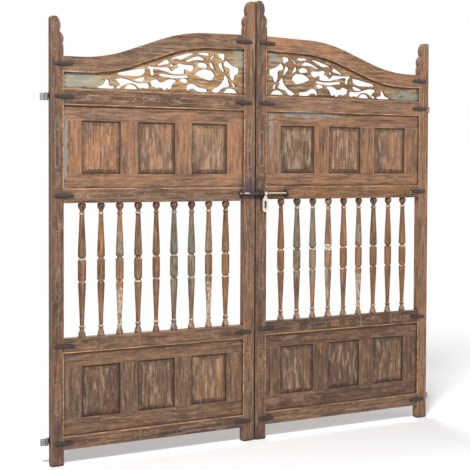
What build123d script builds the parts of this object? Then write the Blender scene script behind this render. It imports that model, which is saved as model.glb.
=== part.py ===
"""Pair of antique wooden gate leaves, closed, with pintle hinges and a sliding iron bolt.

Millimetres. X runs across the gate, Z is up and the carved front faces -Y. The origin is on the
ground, midway between the outer edges of the two leaves. Each leaf is a pegged frame of two stiles
and five rails. It holds a pierced fretwork panel under an arched rail, a panelled section, a row of
turned balusters and a second panelled section.
"""
import os
from dataclasses import dataclass
from math import atan, cos, degrees, radians, sin, tan

from build123d import *

# Leaves
gate_width = 2068
leaf_widths = {"left": 1020, "right": 1040}
leaf_depth = 38
front = -leaf_depth / 2
back = leaf_depth / 2

# Stiles and their scalloped finials
stile_width = 58
stile_tops = {"left": {"outer": 2000, "meeting": 2136}, "right": {"outer": 1994, "meeting": 2143}}
finial_drops = {"lobe": 34, "neck": 66, "shoulder_lobe": 94, "notch": 119, "shoulder": 131}
finial_widths = {"crown": 26, "lobe": 44, "neck": 39, "shoulder_lobe": 57.5, "notch": 53}
finial_corner = 7
foot_chamfer = 5

# Rails, each as the height of its lower and upper edge
rail_heights = {
    "left": {"frieze": (1610, 1683), "lock": (1173, 1238), "sill": (503, 569), "bottom": (70, 129)},
    "right": {"frieze": (1610, 1684), "lock": (1179, 1242), "sill": (512, 577), "bottom": (70, 132)},
}
tenon_length = 42
tenon_thickness = 12
tenon_shoulder = 10
bead_chamfer = 6

# Arched top rail: flat, up along an arc, straight, over an arc, and nearly flat
arch_low_edge = 1757
arch_high_edge = 1826
arch_rise = 143
arch_radius = 700
arch_slope = 19.8
arch_start = {"lower": 155, "upper": 125}
arch_crown_rise = 5

# Pierced panel
fret_front = -6
fret_back = 7
housing_depth = 8

# Panelled sections
frame_front = -10
frame_back = 10
frame_margins = {"upper": {"bottom": 65, "top": 70}, "lower": {"bottom": 77, "top": 66}}
frame_bead = 3
panels_in_row = 3
panel_gap = 88
tongue_front = -2
tongue_back = 6
tongue_slack = 1
field_front = -9
field_border = 22
field_start = 2

# Balusters
balusters_in_row = 9
baluster_tenon = 14
baluster_tenon_length = 22
baluster_scale_height = 604
baluster_profile = [
    (0, 15), (17, 17.5), (39, 9), (47, 13), (240, 18), (250, 12), (261, 18),
    (348, 18), (356, 12.5), (363, 17), (553, 9.5), (561, 12.5), (604, 16.5),
]
shaft_length = 150
shaft_swell = 0.8

# Forged straps on the front joints
strap_length = 85
strap_width = 15
strap_tip = 7
strap_thickness = 3
nail_head = 8
nail_height = 2.5
strap_centre = 60

# Hinges on the back face
pin_radius = 4
eye_radius = 7.5
running_clearance = 0.05
axis_offset = 8.5
hinge_thickness = 5
eye_height = 20
hinge_seat_gap = 0.3
lug_height = 33
lug_reach = 38
lug_start = 17
hinge_strap_length = 300
hinge_strap_root = 30
hinge_strap_tip = 18
lug_levels = {"top": 1646, "bottom": 106}
lug_hole_radius = 2.5
lug_hole_spacing = 18
lug_hole_reach = 28
hinge_nails = (30, 110, 190, 270)

# Bolt
bolt_axis_y = front - 14
bolt_axis_z = 1207
rod_radius = 6
rod_left = -100
rod_right = 170
collar_radius = 8.5
collar_width = 4
handle_centre = 38
handle_eye_width = 14
handle_eye_radius = 10
handle_width = 30
handle_drop = 90
handle_neck = 14
handle_shoulder = 26
handle_thickness = 5
handle_slot = (12, 38)
handle_slot_drop = 54
guide_width = 10
guide_centres = (12, 160)
guide_radius = 10.5
guide_bore = rod_radius + 0.08
guide_foot = 22
guide_foot_thickness = 3
keeper_centre = -88
keeper_bore = 7.5
keeper_radius = 11.5

# Windows sawn through the fretwork. Each point is the distance from the meeting stile's inner edge
# and the height over the frieze rail. A bird stands with its back to the outer stile.
fret_windows = {
    "above_beak": [
        (97, 195), (125, 195), (134, 189), (132, 178), (121, 173), (109, 164), (103, 166), (98, 176),
    ],
    "beside_branch": [
        (88, 166), (78, 158), (68, 149), (56, 142), (22, 131), (24, 105), (37, 98), (43, 89), (46, 77),
        (54, 70), (62, 73), (72, 91), (74, 103), (73, 118), (78, 128), (97, 133), (104, 141),
        (104, 148), (94, 162),
    ],
    "throat": [
        (113, 154), (121, 151), (133, 144), (131, 133), (122, 124), (112, 112), (101, 107), (101, 117),
        (106, 128), (110, 140),
    ],
    "breast": [
        (97, 101), (101, 87), (106, 70), (113, 59), (124, 47), (137, 36), (152, 29), (170, 17),
        (160, 11), (132, 11), (117, 25), (103, 34), (82, 38), (71, 44), (74, 56), (80, 63), (75, 72),
        (86, 86),
    ],
    "twig": [(41, 38), (44, 51), (52, 58), (65, 59), (58, 50), (56, 42), (48, 36)],
    "nape": [
        (172, 156), (177, 148), (177, 131), (167, 125), (158, 118), (150, 113), (153, 123), (161, 140),
    ],
    "crest": [
        (155, 191), (163, 184), (168, 178), (175, 172), (172, 164), (165, 165), (160, 174), (154, 182),
    ],
    "above_back": [
        (188, 133), (197, 143), (212, 147), (234, 145), (244, 137), (243, 128), (222, 124), (197, 123),
    ],
    "upper_ribbon": [
        (203, 160), (214, 170), (232, 176), (252, 174), (272, 167), (290, 158), (307, 150), (290, 148),
        (272, 154), (255, 158), (225, 159),
    ],
    "top_slit": [(177, 189), (186, 194), (215, 195), (240, 192), (240, 188), (215, 184), (192, 182)],
    "long_top": [
        (262, 189), (276, 189), (300, 185), (325, 178), (350, 170), (370, 162), (379, 154), (374, 151),
        (366, 156), (356, 160), (335, 156), (320, 159), (308, 166), (290, 174), (272, 182),
    ],
    "top_leaf": [
        (385, 141), (391, 150), (402, 152), (418, 145), (434, 135), (447, 127), (444, 122), (425, 127),
        (402, 132), (389, 136),
    ],
    "bud": [(365, 129), (374, 133), (384, 129), (387, 124), (380, 122), (370, 124)],
    "ribbon_gap": [
        (260, 120), (263, 130), (275, 133), (310, 134), (333, 138), (345, 136), (349, 131), (341, 117),
        (355, 115), (365, 108), (373, 101), (380, 106), (388, 115), (425, 116), (482, 117), (495, 120),
        (498, 113), (488, 104), (484, 92), (482, 77), (466, 77), (462, 86), (467, 95), (465, 107),
        (450, 107), (430, 102), (400, 96), (382, 90), (355, 88), (325, 89), (311, 92), (309, 104),
        (311, 112), (298, 109), (284, 103), (274, 104), (266, 112),
    ],
    "tail_slot": [
        (285, 78), (292, 83), (340, 81), (390, 83), (427, 87), (440, 83), (439, 77), (425, 74),
        (400, 72), (380, 68), (335, 69), (300, 73),
    ],
    "tail_notch": [
        (290, 57), (296, 65), (330, 65), (337, 59), (333, 54), (322, 52), (312, 48), (300, 50),
    ],
    "scallops": [
        (353, 59), (365, 62), (395, 60), (408, 54), (420, 47), (434, 47), (443, 56), (455, 58),
        (468, 55), (484, 50), (481, 38), (476, 22), (466, 25), (455, 17), (441, 21), (428, 20),
        (416, 11), (406, 11), (400, 20), (388, 15), (377, 20), (372, 34), (362, 46), (353, 52),
    ],
    "belly": [
        (191, 10), (191, 24), (210, 27), (232, 30), (250, 39), (268, 45), (286, 43), (296, 37),
        (301, 22), (297, 11), (286, 17), (274, 23), (262, 21), (248, 12), (225, 9),
    ],
    "leaf_top": [
        (508, 95), (509, 107), (540, 103), (575, 96), (610, 88), (640, 81), (647, 75), (630, 71),
        (590, 70), (545, 71), (526, 75), (514, 84),
    ],
    "leaf_middle": [
        (509, 60), (511, 67), (528, 65), (550, 58), (570, 52), (556, 47), (535, 45), (519, 49),
    ],
    "leaf_low": [
        (488, 27), (492, 37), (505, 40), (530, 38), (550, 40), (572, 46), (600, 54), (630, 57),
        (656, 51), (644, 40), (634, 29), (636, 22), (649, 20), (650, 11), (636, 10), (622, 22),
        (605, 30), (590, 35), (576, 36), (562, 32), (550, 22), (538, 14), (520, 17), (500, 14),
        (490, 19),
    ],
    "rosette": [
        (657, 12), (662, 21), (672, 20), (682, 24), (684, 40), (693, 49), (701, 49), (707, 37),
        (714, 26), (724, 20), (740, 16), (740, 9), (665, 9),
    ],
}
# The teardrop inside the bird's body is one smooth closed curve
body_loop = [
    (149, 88), (160, 106), (182, 115), (210, 116), (238, 106), (258, 91), (234, 80), (206, 71), (174, 66),
]
# Low arches along the foot of the panel, as (one springing, crown, other springing)
fret_arches = [((105, 9), (67, 31), (29, 9)), ((612, 9), (579, 30), (546, 9))]


@dataclass
class Leaf:
    """One leaf, measured by u from its outer edge to its meeting edge."""

    name: str
    side: int
    width: float
    rails: dict

    def x(self, u):
        return self.side * (gate_width / 2 - u)

    def at(self, u, z):
        return (self.x(u), z)

    @property
    def inner(self):
        return self.width - stile_width

    @property
    def opening_width(self):
        return self.width - 2 * stile_width


def finish(piece, label):
    """Label a finished piece and write its file."""
    piece.part.label = label
    export_step(piece.part, f"parts/{label}.step")


def finish_group(pieces, label):
    """Write several separate solids of like kind as one labelled group."""
    group = Compound(label=label, children=[piece.part for piece in pieces])
    export_step(group, f"parts/{label}.step")


def upright_plane(y):
    """An upright plane parallel to the front, its sketch growing in +X and +Z."""
    return Plane.XZ.offset(-y)


def block(leaf, u0, u1, z0, z1, y0, y1, mode=Mode.ADD):
    """A square-edged block between two distances across the leaf, two heights and two depths."""
    with BuildSketch(upright_plane(y1)) as face:
        with Locations(leaf.at((u0 + u1) / 2, (z0 + z1) / 2)):
            Rectangle(abs(u1 - u0), z1 - z0)
    extrude(face.sketch, amount=y1 - y0, mode=mode)


def bead_cut(leaf, u0, u1, z0, z1, depth, size):
    """Bevel the front arris round an opening, with mitred corners."""
    with BuildSketch(upright_plane(depth + size)) as opening:
        with Locations(leaf.at((u0 + u1) / 2, (z0 + z1) / 2)):
            Rectangle(abs(u1 - u0), z1 - z0)
    extrude(opening.sketch, amount=size + 1, taper=-45, mode=Mode.SUBTRACT)


def arch_curve(leaf, edge, level, overshoot=0):
    """The S-curve of the arched rail's upper or lower edge, from stile to stile."""
    slope = radians(arch_slope)
    start = arch_start[edge]
    arc_rise = arch_radius * (1 - cos(slope))
    arc_run = arch_radius * sin(slope)
    straight_rise = arch_rise - 2 * arc_rise
    half_run = arch_radius * sin(slope / 2)
    half_rise = arch_radius * (1 - cos(slope / 2))
    hollow_end = (start + arc_run, level + arc_rise)
    crown_start = (hollow_end[0] + straight_rise / tan(slope), hollow_end[1] + straight_rise)
    crown_end = (crown_start[0] + arc_run, level + arch_rise)
    Line(leaf.at(stile_width - overshoot, level), leaf.at(start, level))
    ThreePointArc(leaf.at(start, level), leaf.at(start + half_run, level + half_rise), leaf.at(*hollow_end))
    Line(leaf.at(*hollow_end), leaf.at(*crown_start))
    ThreePointArc(
        leaf.at(*crown_start),
        leaf.at(crown_end[0] - half_run, crown_end[1] - half_rise),
        leaf.at(*crown_end),
    )
    Line(leaf.at(*crown_end), leaf.at(leaf.inner + overshoot, level + arch_rise + arch_crown_rise))


def fret_blank(leaf, mode=Mode.ADD):
    """The fretwork board before it is pierced, let into the frame all round."""
    foot = leaf.rails["frieze"][1] - housing_depth
    near, far = stile_width - housing_depth, leaf.inner + housing_depth
    head = arch_low_edge + housing_depth
    with BuildSketch(upright_plane(fret_back)) as board:
        with BuildLine():
            arch_curve(leaf, "lower", head, overshoot=housing_depth)
            Polyline(
                leaf.at(far, head + arch_rise + arch_crown_rise),
                leaf.at(far, foot),
                leaf.at(near, foot),
                leaf.at(near, head),
            )
        make_face()
    extrude(board.sketch, amount=fret_back - fret_front, mode=mode)


def section_housing(leaf, low, high):
    """Cut the groove that holds a panelled section's boards."""
    near, far = stile_width - housing_depth, leaf.inner + housing_depth
    block(
        leaf, near, far, low - housing_depth, high + housing_depth, frame_front, frame_back,
        mode=Mode.SUBTRACT,
    )


def frame_openings(leaf):
    """The openings of the leaf that hold boards, as (bottom, top)."""
    rails = leaf.rails
    return {
        "upper": (rails["lock"][1], rails["frieze"][0]),
        "lower": (rails["bottom"][1], rails["sill"][0]),
    }


def cut_for_boards(leaf, arch_end):
    """House the fretwork and both panelled sections in a stile or a rail, and bevel its arrises."""
    fret_blank(leaf, mode=Mode.SUBTRACT)
    bead_cut(leaf, stile_width, leaf.inner, leaf.rails["frieze"][1], arch_end, front, bead_chamfer)
    for low, high in frame_openings(leaf).values():
        section_housing(leaf, low, high)
        bead_cut(leaf, stile_width, leaf.inner, low, high, front, bead_chamfer)


def arch_tenon_levels(leaf, near_meeting):
    """Lower and upper edge of the arched rail where it meets a stile."""
    lift = arch_rise + arch_crown_rise if near_meeting else 0
    return arch_low_edge + lift, arch_high_edge + lift


def stile(leaf, near_meeting):
    """An upright of the leaf, with a foot, mortises for the rails and a scalloped finial."""
    edge = "meeting" if near_meeting else "outer"
    top = stile_tops[leaf.name][edge]
    low_arch, high_arch = arch_tenon_levels(leaf, near_meeting)

    def at(width, z):
        return leaf.at(leaf.width - width if near_meeting else width, z)

    names = ("lobe", "neck", "shoulder_lobe", "notch")
    finial = {name: at(finial_widths[name], top - finial_drops[name]) for name in names}
    crown = at(finial_widths["crown"], top)
    with BuildPart() as piece:
        with BuildSketch(upright_plane(back)):
            with BuildLine():
                Polyline(
                    crown,
                    at(finial_corner, top),
                    at(0, top - finial_corner),
                    at(0, foot_chamfer),
                    at(foot_chamfer, 0),
                    at(stile_width - foot_chamfer, 0),
                    at(stile_width, foot_chamfer),
                    at(stile_width, top - finial_drops["shoulder"]),
                    finial["notch"],
                )
                ThreePointArc(finial["notch"], finial["shoulder_lobe"], finial["neck"])
                ThreePointArc(finial["neck"], finial["lobe"], crown)
            make_face()
        extrude(amount=leaf_depth)
        cut_for_boards(leaf, low_arch)
        near = leaf.inner if near_meeting else stile_width
        far = near + tenon_length if near_meeting else near - tenon_length
        for low, high in (*leaf.rails.values(), (low_arch, high_arch)):
            block(
                leaf, near, far, low + tenon_shoulder, high - tenon_shoulder,
                -tenon_thickness / 2, tenon_thickness / 2, mode=Mode.SUBTRACT,
            )
    finish(piece, f"{leaf.name}_{edge}_stile")


def rail_tenons(leaf, outer_levels, meeting_levels):
    """Tenons at both ends of a rail."""
    for near, far, (low, high) in (
        (stile_width - tenon_length, stile_width, outer_levels),
        (leaf.inner, leaf.inner + tenon_length, meeting_levels),
    ):
        block(
            leaf, near, far, low + tenon_shoulder, high - tenon_shoulder,
            -tenon_thickness / 2, tenon_thickness / 2,
        )


def baluster_centres(leaf):
    """Distances across the leaf of the baluster axes, evenly spaced."""
    pitch = leaf.opening_width / (balusters_in_row + 1)
    return [stile_width + pitch * (i + 1) for i in range(balusters_in_row)]


def straight_rail(leaf, name):
    """A level rail with tenons, grooves for the boards and square mortises for balusters."""
    low, high = leaf.rails[name]
    with BuildPart() as piece:
        block(leaf, stile_width, leaf.inner, low, high, front, back)
        rail_tenons(leaf, (low, high), (low, high))
        cut_for_boards(leaf, arch_low_edge)
        mortise = {"lock": (low, low + baluster_tenon_length), "sill": (high - baluster_tenon_length, high)}
        if name in mortise:
            z0, z1 = mortise[name]
            half = baluster_tenon / 2
            for u in baluster_centres(leaf):
                block(leaf, u - half, u + half, z0, z1, -half, half, mode=Mode.SUBTRACT)
    finish(piece, f"{leaf.name}_{name}_rail")


def arched_rail(leaf):
    """The top rail, sawn to an S-curve above and below."""
    lift = arch_rise + arch_crown_rise
    with BuildPart() as piece:
        with BuildSketch(upright_plane(back)):
            with BuildLine():
                arch_curve(leaf, "lower", arch_low_edge)
                arch_curve(leaf, "upper", arch_high_edge)
                Line(leaf.at(stile_width, arch_low_edge), leaf.at(stile_width, arch_high_edge))
                Line(leaf.at(leaf.inner, arch_low_edge + lift), leaf.at(leaf.inner, arch_high_edge + lift))
            make_face()
        extrude(amount=leaf_depth)
        front_edges = piece.faces().sort_by(Axis.Y)[0].edges()
        lower_edges = [
            edge for edge in front_edges
            if edge.length > stile_width * 1.3 and is_lower_edge(leaf, edge)
        ]
        chamfer(lower_edges, bead_chamfer)
        rail_tenons(leaf, arch_tenon_levels(leaf, False), arch_tenon_levels(leaf, True))
        fret_blank(leaf, mode=Mode.SUBTRACT)
    finish(piece, f"{leaf.name}_arched_rail")


def is_lower_edge(leaf, edge):
    """True for an edge of the arched rail's face that lies on its lower curve."""
    point = edge.position_at(0.5)
    u = gate_width / 2 - leaf.side * point.X
    slope = radians(arch_slope)
    centre_low = (arch_low_edge + arch_high_edge) / 2
    middle = arch_start["upper"] + arch_radius * sin(slope)
    run = arch_rise / tan(slope)
    rise = min(max((u - middle) / run + 0.25, 0), 1) * arch_rise
    return point.Z < centre_low + rise


def fretwork(leaf):
    """The pierced panel: a bird by the meeting stile, ribbons and leaves behind it, arches below."""
    ground = leaf.rails["frieze"][1]

    def at(point):
        return leaf.at(leaf.inner - point[0], ground + point[1])

    with BuildPart() as piece:
        fret_blank(leaf)
        with BuildSketch(upright_plane(fret_back)):
            for outline in fret_windows.values():
                with BuildLine():
                    Polyline(*[at(point) for point in outline], close=True)
                make_face()
            with BuildLine():
                Spline(*[at(point) for point in body_loop], periodic=True)
            make_face()
            for spring, crown, end in fret_arches:
                with BuildLine():
                    ThreePointArc(at(spring), at(crown), at(end))
                    Line(at(end), at(spring))
                make_face()
        extrude(amount=fret_back - fret_front, mode=Mode.SUBTRACT)
    finish(piece, f"{leaf.name}_fretwork")


def baluster(leaf, number, u):
    """A turned baluster with a square tenon at each end."""
    high, low = leaf.rails["lock"][0], leaf.rails["sill"][1]
    scale = (high - low) / baluster_scale_height
    x = leaf.x(u)
    half = baluster_tenon / 2
    outline = [(x + radius, high - drop * scale) for drop, radius in baluster_profile]
    with BuildPart() as piece:
        with BuildSketch(Plane.XZ):
            with BuildLine():
                Polyline(outline[-1], (x, low), (x, high), outline[0])
                for start, end in zip(outline, outline[1:]):
                    if start[1] - end[1] > shaft_length:
                        swell = ((start[0] + end[0]) / 2 + shaft_swell, (start[1] + end[1]) / 2)
                        ThreePointArc(start, swell, end)
                    else:
                        Line(start, end)
            make_face()
        revolve(axis=Axis((x, 0, 0), (0, 0, 1)))
        block(leaf, u - half, u + half, high, high + baluster_tenon_length, -half, half)
        block(leaf, u - half, u + half, low - baluster_tenon_length, low, -half, half)
    finish(piece, f"{leaf.name}_baluster_{number}")


def recesses(leaf):
    """Left and right edge, across the leaf, of the recesses in a panelled section."""
    width = (leaf.opening_width - (panels_in_row + 1) * panel_gap) / panels_in_row
    starts = [stile_width + panel_gap + i * (width + panel_gap) for i in range(panels_in_row)]
    return [(start, start + width) for start in starts]


def section_boards(leaf, name, low, high):
    """The boards round the raised panels: one above, one below, and uprights tongued between them."""
    margins = frame_margins[name]
    z0, z1 = low + margins["bottom"], high - margins["top"]
    near, far = stile_width - housing_depth, leaf.inner + housing_depth
    holes = recesses(leaf)

    def cut_for_panels():
        for u0, u1 in holes:
            block(
                leaf, u0 - housing_depth, u1 + housing_depth, z0 - housing_depth, z1 + housing_depth,
                tongue_front, tongue_back, mode=Mode.SUBTRACT,
            )
            bead_cut(leaf, u0, u1, z0, z1, frame_front, frame_bead)

    boards = []
    for board_low, board_high, groove_low, groove_high in (
        (z1, high + housing_depth, z1, z1 + housing_depth),
        (low - housing_depth, z0, z0 - housing_depth, z0),
    ):
        with BuildPart() as board:
            block(leaf, near, far, board_low, board_high, frame_front, frame_back)
            block(
                leaf, stile_width, leaf.inner, groove_low, groove_high, tongue_front, tongue_back,
                mode=Mode.SUBTRACT,
            )
            cut_for_panels()
        boards.append(board)
    edges = [near, *[edge for hole in holes for edge in hole], far]
    for u0, u1 in zip(edges[0::2], edges[1::2]):
        tongue_u0 = max(u0 + housing_depth, stile_width)
        tongue_u1 = min(u1 - housing_depth, leaf.inner)
        with BuildPart() as board:
            block(leaf, u0, u1, z0, z1, frame_front, frame_back)
            block(
                leaf, tongue_u0, tongue_u1, z0 - housing_depth, z1 + housing_depth,
                tongue_front, tongue_back,
            )
            cut_for_panels()
        boards.append(board)
    finish_group(boards, f"{leaf.name}_{name}_panel_frame")


def raised_panel(leaf, name, number, u0, u1, z0, z1):
    """A raised and fielded panel, its thin edge held in the boards' grooves."""
    centre = leaf.at((u0 + u1) / 2, (z0 + z1) / 2)
    width, height = u1 - u0, z1 - z0
    edge = 2 * (housing_depth - tongue_slack)
    with BuildPart() as piece:
        with BuildSketch(upright_plane(tongue_back)):
            with Locations(centre):
                Rectangle(width + edge, height + edge)
        extrude(amount=tongue_back - tongue_front)
        with BuildSketch(upright_plane(tongue_front)):
            with Locations(centre):
                Rectangle(width - 2 * field_start, height - 2 * field_start)
        rise = tongue_front - field_front
        extrude(amount=rise, taper=degrees(atan((field_border - field_start) / rise)))
    finish(piece, f"{leaf.name}_{name}_panel_{number}")


def panelled_section(leaf, name, low, high):
    """Boards and raised panels between two rails."""
    section_boards(leaf, name, low, high)
    margins = frame_margins[name]
    for number, (u0, u1) in enumerate(recesses(leaf), start=1):
        raised_panel(leaf, name, number, u0, u1, low + margins["bottom"], high - margins["top"])


def joint_straps(leaf):
    """Forged iron straps nailed over the joints of stiles and rails. The bolt covers one joint."""
    rails = {name: (low + high) / 2 for name, (low, high) in leaf.rails.items()}
    outer_arch, meeting_arch = (sum(arch_tenon_levels(leaf, end)) / 2 for end in (False, True))
    outer = [(strap_centre, z) for z in (*rails.values(), outer_arch)]
    inner_levels = [z for name, z in rails.items() if name != "lock"] + [meeting_arch]
    meeting = [(leaf.width - strap_centre, z) for z in inner_levels]
    half, reach = strap_width / 2, strap_length / 2
    tip = strap_tip / 2
    with BuildPart() as piece:
        for u, z in outer + meeting:
            with BuildSketch(upright_plane(front)):
                with BuildLine():
                    Polyline(
                        leaf.at(u - reach, z - tip),
                        leaf.at(u - reach * 0.6, z - half),
                        leaf.at(u + reach * 0.6, z - half),
                        leaf.at(u + reach, z - tip),
                        leaf.at(u + reach, z + tip),
                        leaf.at(u + reach * 0.6, z + half),
                        leaf.at(u - reach * 0.6, z + half),
                        leaf.at(u - reach, z + tip),
                        close=True,
                    )
                make_face()
            extrude(amount=strap_thickness)
            with BuildSketch(upright_plane(front - strap_thickness)):
                with Locations(*[leaf.at(u + shift * reach, z) for shift in (-0.7, 0.05, 0.7)]):
                    Rectangle(nail_head, nail_head, rotation=45)
            extrude(amount=nail_height, taper=45)
    finish(piece, f"{leaf.name}_joint_straps")


def hinge_levels(centre):
    """Lower end of a lug, its seat for the eye, and its upper end."""
    low, high = centre - lug_height / 2, centre + lug_height / 2
    return low, high - eye_height, high


def hinge_straps(leaf):
    """Long iron straps on the back, each with an eye that turns on its pintle."""
    axis = leaf.at(-axis_offset, back + hinge_thickness / 2)
    with BuildPart() as piece:
        for centre in lug_levels.values():
            low, seat, high = hinge_levels(centre)
            z = (seat + high) / 2
            with BuildSketch(upright_plane(back + hinge_thickness)):
                with BuildLine():
                    Polyline(
                        leaf.at(0, z - hinge_strap_root / 2),
                        leaf.at(hinge_strap_length, z - hinge_strap_tip / 2),
                        leaf.at(hinge_strap_length + hinge_strap_tip / 2, z),
                        leaf.at(hinge_strap_length, z + hinge_strap_tip / 2),
                        leaf.at(0, z + hinge_strap_root / 2),
                        close=True,
                    )
                make_face()
            extrude(amount=hinge_thickness)
            block(leaf, -axis_offset, 0, seat, high, back, back + hinge_thickness)
            with BuildSketch(Plane.XY.offset(seat)):
                with Locations(axis):
                    Circle(eye_radius)
            extrude(amount=eye_height)
            with BuildSketch(Plane.XY.offset(seat)):
                with Locations(axis):
                    Circle(pin_radius + running_clearance)
            extrude(amount=eye_height, mode=Mode.SUBTRACT)
            with BuildSketch(upright_plane(back + hinge_thickness)):
                with Locations(*[leaf.at(u, z) for u in hinge_nails]):
                    Rectangle(nail_head, nail_head, rotation=45)
            extrude(amount=-nail_height, taper=45)
    finish(piece, f"{leaf.name}_hinge_straps")


def pintles(leaf):
    """The fixed half of the hinges: a wall plate, a boss and a pin that carries the leaf's eye."""
    axis = leaf.at(-axis_offset, back + hinge_thickness / 2)
    with BuildPart() as piece:
        for centre in lug_levels.values():
            low, seat, high = hinge_levels(centre)
            boss_top = seat - hinge_seat_gap
            block(leaf, -lug_reach, -lug_start, low, high, back, back + hinge_thickness)
            block(leaf, -lug_start, -axis_offset, low, boss_top, back, back + hinge_thickness)
            with BuildSketch(Plane.XY.offset(low)):
                with Locations(axis):
                    Circle(eye_radius)
            extrude(amount=boss_top - low)
            with BuildSketch(Plane.XY.offset(low)):
                with Locations(axis):
                    Circle(pin_radius)
            extrude(amount=high + pin_radius / 2 - low)
            with BuildSketch(upright_plane(back + hinge_thickness)):
                for step in (-0.5, 0.5):
                    with Locations(leaf.at(-lug_hole_reach, centre + step * lug_hole_spacing)):
                        Circle(lug_hole_radius)
            extrude(amount=hinge_thickness, mode=Mode.SUBTRACT)
    finish(piece, f"{leaf.name}_pintles")


def guide(x, outer, bore):
    """An iron band that bridges the rod, with a foot above and below it on the wood."""
    with BuildSketch(Plane.YZ.offset(x - guide_width / 2)) as section:
        with Locations(((bolt_axis_y + front) / 2, bolt_axis_z)):
            Rectangle(front - bolt_axis_y, 2 * outer)
        with Locations((bolt_axis_y, bolt_axis_z)):
            Circle(outer)
        with Locations((front - guide_foot_thickness / 2, bolt_axis_z)):
            Rectangle(guide_foot_thickness, 2 * guide_foot)
        with Locations((bolt_axis_y, bolt_axis_z)):
            Circle(bore, mode=Mode.SUBTRACT)
    extrude(section.sketch, amount=guide_width)


def bolt():
    """The sliding rod, its hanging handle, its two guides and the keeper on the other leaf."""
    with BuildPart() as rod:
        with BuildSketch(Plane.YZ.offset(rod_left)):
            with Locations((bolt_axis_y, bolt_axis_z)):
                Circle(rod_radius)
        extrude(amount=rod_right - rod_left)
        reach = handle_eye_width / 2 + 0.5
        for start in (handle_centre - reach - collar_width, handle_centre + reach):
            with BuildSketch(Plane.YZ.offset(start)):
                with Locations((bolt_axis_y, bolt_axis_z)):
                    Circle(collar_radius)
            extrude(amount=collar_width)
    finish(rod, "bolt_rod")

    with BuildPart() as handle:
        tip = bolt_axis_z - handle_drop
        shoulder = bolt_axis_z - handle_shoulder
        half, neck = handle_width / 2, handle_neck / 2
        with BuildSketch(upright_plane(bolt_axis_y + handle_thickness / 2)):
            with BuildLine():
                Polyline(
                    (handle_centre - half, tip + half),
                    (handle_centre - half, shoulder),
                    (handle_centre - neck, shoulder + neck),
                    (handle_centre - neck, bolt_axis_z),
                    (handle_centre + neck, bolt_axis_z),
                    (handle_centre + neck, shoulder + neck),
                    (handle_centre + half, shoulder),
                    (handle_centre + half, tip + half),
                )
                ThreePointArc(
                    (handle_centre + half, tip + half),
                    (handle_centre, tip),
                    (handle_centre - half, tip + half),
                )
            make_face()
            with Locations((handle_centre, bolt_axis_z - handle_slot_drop)):
                SlotOverall(handle_slot[1], handle_slot[0], rotation=90, mode=Mode.SUBTRACT)
        extrude(amount=handle_thickness)
        with BuildSketch(Plane.YZ.offset(handle_centre - handle_eye_width / 2)):
            with Locations((bolt_axis_y, bolt_axis_z)):
                Circle(handle_eye_radius)
        extrude(amount=handle_eye_width)
        with BuildSketch(Plane.YZ.offset(handle_centre - handle_eye_width / 2)):
            with Locations((bolt_axis_y, bolt_axis_z)):
                Circle(guide_bore)
        extrude(amount=handle_eye_width, mode=Mode.SUBTRACT)
    finish(handle, "bolt_handle")

    with BuildPart() as guides:
        for x in guide_centres:
            guide(x, guide_radius, guide_bore)
    finish(guides, "bolt_guides")

    with BuildPart() as keeper:
        guide(keeper_centre, keeper_radius, keeper_bore)
    finish(keeper, "bolt_keeper")


def build_leaf(leaf):
    """All the pieces of one leaf, from the frame inwards."""
    stile(leaf, near_meeting=False)
    stile(leaf, near_meeting=True)
    arched_rail(leaf)
    for name in leaf.rails:
        straight_rail(leaf, name)
    fretwork(leaf)
    for number, u in enumerate(baluster_centres(leaf), start=1):
        baluster(leaf, number, u)
    for name, (low, high) in frame_openings(leaf).items():
        panelled_section(leaf, name, low, high)
    joint_straps(leaf)
    hinge_straps(leaf)
    pintles(leaf)


os.makedirs("parts", exist_ok=True)
for name, side in (("left", -1), ("right", 1)):
    build_leaf(Leaf(name, side, leaf_widths[name], rail_heights[name]))
bolt()
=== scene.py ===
from math import cos, hypot, pi, radians, sin, tan

import bpy
from mathutils import Matrix, Vector


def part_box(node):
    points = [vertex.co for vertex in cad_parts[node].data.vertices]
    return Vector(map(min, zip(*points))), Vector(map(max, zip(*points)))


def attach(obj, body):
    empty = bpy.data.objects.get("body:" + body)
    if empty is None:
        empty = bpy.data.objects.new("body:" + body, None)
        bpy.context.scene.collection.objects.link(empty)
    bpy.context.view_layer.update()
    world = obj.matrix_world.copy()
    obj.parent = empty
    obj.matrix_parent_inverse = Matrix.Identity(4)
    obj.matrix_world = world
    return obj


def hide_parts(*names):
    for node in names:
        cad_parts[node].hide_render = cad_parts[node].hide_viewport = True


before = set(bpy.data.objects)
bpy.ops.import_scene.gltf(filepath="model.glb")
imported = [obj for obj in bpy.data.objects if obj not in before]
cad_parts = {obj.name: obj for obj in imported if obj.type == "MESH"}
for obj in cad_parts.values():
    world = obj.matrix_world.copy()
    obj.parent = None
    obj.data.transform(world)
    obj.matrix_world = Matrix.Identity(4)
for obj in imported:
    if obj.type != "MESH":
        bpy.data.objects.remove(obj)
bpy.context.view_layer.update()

# Stiles and rails
# Each leaf is a mortised frame of old Indian hardwood, sawn and planed by hand, 58 mm wide and
# 38 mm thick. A bead runs round its openings, and small patterns are cut in its face with a
# gouge. The wood has lost its finish, so its arrises are rounded by wear and weather.
mm = 0.001


def extent(node, axis):
    """The lowest and highest place of a solid along an axis, in whole millimetres."""
    low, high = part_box(node)
    return round(low[axis] / mm), round(high[axis] / mm)


stile_left, stile_right = extent("left_outer_stile", 0)
stile_width = stile_right - stile_left
front = extent("left_outer_stile", 1)[0]


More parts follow.
